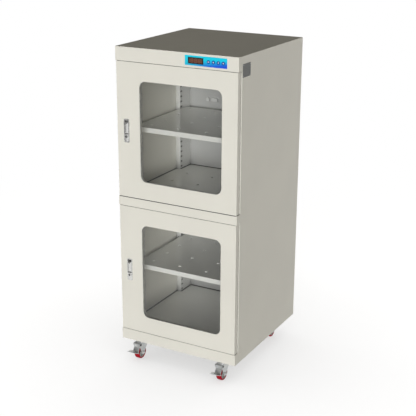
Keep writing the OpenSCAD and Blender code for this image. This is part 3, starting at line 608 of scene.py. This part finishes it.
def floor_shadow_lines():
    """Dark strips round both chamber floors, along the walls, the webs of the rear uprights and
    the back: painted shadow lines, for the shade in the corner of floor and wall. Each is a
    square section with its free edge eased, extruded along that corner."""
    # The strips are dark to paint the shadow line in the corners of floor and wall.
    shadow_line_black = rubber("painted_shadow_line", (0.045, 0.045, 0.042))
    strip_size, eased, sink, edge = 0.0035, 0.4, 0.0002, 0.0001
    section = strip_size * np.array([(0, 0), (1, 0), (1, eased), (eased, 1), (0, 1)])
    wall_x, web_x = 0.2985, 0.275
    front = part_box("floor_panel")[0].y + 0.012
    webs, back_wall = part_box("uprights_rear")[0].y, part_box("back_panel")[0].y
    for name, node in (("upper", "divider"), ("lower", "floor_panel")):
        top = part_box(node)[1].z - sink
        strips = [prism(section * (-side, 1), (side * x, start, top), X, Z, Y, end - start, edge)
                 for side in (-1, 1)
                 for x, start, end in ((wall_x, front, webs), (web_x, webs, back_wall))]
        strips.append(prism(section * (-1, 1), (-web_x, back_wall, top), Y, Z, X, 2 * web_x, edge))
        solid("floor_joint_" + name, joined(strips), shadow_line_black, "cabinet")


def sill_strip():
    """Black strip along the gap under the upper door: a painted shadow, for the shade in that gap.
    It is a flat rectangle extruded forwards, so that it stands just proud of the rail, with its
    front end drawn in."""
    low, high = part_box("door_frame_upper")
    w, thick, depth, edge = (high.x - low.x) - 0.002, 0.0032, 0.0104, 0.0004
    setback, below = 0.010, 0.0018
    origin = (0, low.y + setback, low.z - below)
    # The black strip paints the shadow in the gap under the upper door.
    solid("sill_strip", prism(oblong(w, thick), origin, X, Z, OUT, depth, edge),
          rubber("gap_shadow_black", (0.02, 0.02, 0.02)), "cabinet")


def domes_on_both_ends(middle, reach, r, h):
    """Two domed heads turned about X, one on each end of a pin that reaches so far each way."""
    x, y, z = middle
    return joined([lathe(dome(r, h), (x + side * reach, y, z), (side, 0, 0), sides=20)
                   for side in (-1, 1)])


def caster_parts():
    """Domed caps on the axle nuts, black heads on the brake pins and ribs on the pedals. The
    ribs are rounded bars extruded upwards."""
    wheel_half, arm_gap, arm_t, nut_t = 0.013, 0.0025, 0.0025, 0.005
    pin_reach, pin_ahead, pin_z = 0.0193, 0.023, 0.0782
    ribs, rib_first, rib_pitch, rib_z, rib_rise = 4, 0.004, 0.0042, 0.0632, 0.0001
    rib, rib_h, rib_edge = rounded(0.030, 0.0016, 0.0007, steps=3), 0.0008, 0.0003
    cap_r, head_r, head_h = 0.0052, 0.0050, 0.0026
    for corner in CORNERS:
        wheel, swivel = middle_of("caster_tyre_" + corner), "swivel_" + corner
        axle_reach = wheel_half + arm_gap + arm_t + nut_t
        solid("axle_caps_" + corner, domes_on_both_ends(wheel, axle_reach, cap_r, head_h),
              zinc, swivel)
        if corner[0] == "f":
            pin = (wheel.x, wheel.y - pin_ahead, pin_z)
            solid("brake_pin_heads_" + corner, domes_on_both_ends(pin, pin_reach, head_r, head_h),
                  black, swivel)
            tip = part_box("brake_pedal_" + corner)[0].y
            places = [(wheel.x, tip + rib_first + k * rib_pitch, rib_z + k * rib_rise)
                      for k in range(ribs)]
            solid("pedal_ribs_" + corner,
                  joined([prism(rib, place, X, Y, Z, rib_h, rib_edge) for place in places]),
                  zinc, "pedal_" + corner)


def caster_bolts():
    """Bolts under the four caster plates: a six-sided nut and a round stud end, each a profile
    turned about Z."""
    swivel_x, trail, face_z = 0.220, 0.035, 0.0955
    bolt_x, bolt_y = 0.0225, 0.0375
    nut = [(0, -0.0002), (0.0062, -0.0002), (0.0062, 0.0036), (0.0054, 0.0042), (0, 0.0042)]
    stud = [(0, 0.004), (0.003, 0.004), (0.003, 0.0062), (0.0024, 0.0068), (0, 0.0068)]
    parts = []
    for corner in CORNERS:
        x = swivel_x * (-1 if corner[1] == "l" else 1)
        y = middle_of("caster_tyre_" + corner).y + trail
        for place in [(x + a * bolt_x, y + b * bolt_y, face_z) for a in (-1, 1) for b in (-1, 1)]:
            parts += [lathe(nut, place, DOWN, sides=6), lathe(stud, place, DOWN, sides=16)]
    solid("caster_bolts", joined(parts), zinc, "cabinet", smooth=30.0)


def rear_screws():
    """Screws round the flange of the rear cover and along the edges of the back panel, each a
    profile turned about Y."""
    sheet, cover_inset, panel_inset = 0.0015, 0.007, 0.014
    panel_low, panel_high, rows, column_x = 0.14, 1.44, 7, 0.14
    low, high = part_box("rear_cover")
    cover_y, middle = low.y + sheet, middle_of("rear_cover")
    w, h = high.x - middle.x - cover_inset, high.z - middle.z - cover_inset
    places = [(middle.x + a * w, cover_y, middle.z + b * h) for a in (-1, 0, 1) for b in (-1, 1)]
    places += [(middle.x + a * w, cover_y, middle.z) for a in (-1, 1)]
    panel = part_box("back_panel")
    panel_x, panel_y = panel[1].x - panel_inset, panel[0].y + sheet
    places += [(a * panel_x, panel_y, z)
               for a in (-1, 1) for z in np.linspace(panel_low, panel_high, rows)]
    places += [(a * column_x, panel_y, z) for a in (-1, 1) for z in (panel_low, panel_high)]
    solid("rear_screws", joined([screw(place, Y) for place in places]), zinc, "cabinet")


def inlet_blades():
    """Metal sleeves over the three pins of the appliance inlet: rounded rectangles extruded
    along Y."""
    middle, face = middle_of("power_inlet"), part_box("power_inlet")[0].y
    sleeve, depth, edge, set_in = rounded(0.0022, 0.0042, 0.0004, steps=2), 0.0075, 0.0004, 0.0018
    pins = ((-0.007, -0.001), (0.007, -0.001), (0.0, 0.003))
    sleeves = [prism(sleeve, (middle.x + x, face + set_in, middle.z + z), X, Z, Y, depth, edge)
               for x, z in pins]
    solid("inlet_blades", joined(sleeves), zinc, "cabinet")


side_plate()
button_marks()
display_digits()
lock_shutters()
floor_shadow_lines()
sill_strip()
caster_parts()
caster_bolts()
rear_screws()
inlet_blades()


# ---- Stage ----

def sun(name, azimuth, elevation, level, spread, tint):
    """Lamp at infinity that leaves no glare. Azimuth 0 shines from the front and 90 from the
    right, in degrees, as elevation and spread are. A level of 1 lights white to white."""
    data = bpy.data.lights.new(name, "SUN")
    data.energy, data.angle, data.color = level * math.pi, math.radians(spread), tint
    lamp = bpy.data.objects.new(name, data)
    a, e = math.radians(azimuth), math.radians(elevation)
    towards = Vector((math.sin(a) * math.cos(e), -math.cos(a) * math.cos(e), math.sin(e)))
    lamp.visible_glossy = False
    lamp.rotation_euler = towards.to_track_quat("Z", "Y").to_euler()
    bpy.context.scene.collection.objects.link(lamp)


def seen(f):
    """1 for camera, glossy and transmission rays and 0 for the rays that carry light to matt
    surfaces."""
    return (f.ray("Camera") + f.ray("Glossy")).math("ADD", f.ray("Transmission"), clamp=True)


def make_floor():
    """Pale floor: it darkens softly where the object stands over it, goes to plain white further
    out, and is darker at the left in mirrors."""
    half = 60.0
    plain_from, plain_to = 1.3, 3.2  # distances from the middle between which it goes plain
    dark_from, dark_to, darkness = 0.4, 3.2, 0.6  # the same to the left, for what mirrors see
    mesh = bpy.data.meshes.new("floor")
    mesh.from_pydata([(-half, -half, 0), (half, -half, 0), (half, half, 0), (-half, half, 0)],
                     [], [(0, 1, 2, 3)])
    floor = bpy.data.objects.new("floor", mesh)
    bpy.context.scene.collection.objects.link(floor)
    f = Finish("floor", shader=False)
    away = f.axis("X").math("POWER", 2.0) + f.axis("Y").math("POWER", 2.0)
    plain = away.math("SQRT").ramp(plain_from, plain_to)
    view = seen(f)
    left = (f.axis("X") * -1.0).ramp(dark_from, dark_to)
    bright = view * (1.0 - left * f.ray("Glossy") * darkness)
    lighting, looked_at = (0.80, 0.80, 0.80), (0.30, 0.30, 0.30)
    matt = f.node("BsdfDiffuse", Color=f.mix(view, lighting, looked_at))
    shadow_reach, shadow_depth, shadow_level = 0.9, 0.42, 0.53
    shadow = f.openness(shadow_reach, samples=12) * shadow_depth + shadow_level
    under = f.node("AddShader", _0=matt, _1=f.node("Emission", Strength=bright * shadow))
    f.show(f.blend(plain * view, under, f.node("Emission", Strength=bright)))
    mesh.materials.append(f.material)


def make_world():
    """White all round for what the camera sees, also through glass, and a low warm level for the
    rest. What metal and paint mirror is white low down in front, and darker at the sides, behind
    and above."""
    world = bpy.data.worlds.new("world")
    bpy.context.scene.world = world
    f = Shading(world, "World")
    where = f.node("TexCoord", "Generated")
    across, along, up = (f.node("SeparateXYZ", k, Vector=where) for k in range(3))
    sides = across.math("ABSOLUTE").ramp(0.35, 0.8) * 0.65
    behind = along.ramp(0.1, 0.6) * 0.35
    above = up.ramp(-0.25, 0.1) * (along.ramp(-0.5, 0.1) * 0.23 + 0.70)
    mirrored = f.mix((1.0 - sides) * (1.0 - behind) * (1.0 - above), UNLIT, WHITE)
    warm_level = (0.042, 0.034, 0.020)
    rest = f.mix(f.ray("Glossy"), warm_level, mirrored)
    view = f.ray("Camera").math("ADD", f.ray("Transmission"), clamp=True)
    f.show(f.node("Background", Color=f.mix(view, rest, WHITE)))


make_floor()
make_world()
sun("key", azimuth=15, elevation=6, level=0.53, spread=18, tint=(0.98, 0.985, 1.02))
sun("second", azimuth=34, elevation=6, level=0.48, spread=20, tint=(1.0, 0.985, 0.96))
sun("left", azimuth=-95, elevation=1, level=0.44, spread=30, tint=(1.0, 0.97, 0.92))
sun("back", azimuth=178, elevation=1, level=0.58, spread=30, tint=(1.0, 0.98, 0.94))
bpy.context.scene.view_settings.view_transform = "Standard"
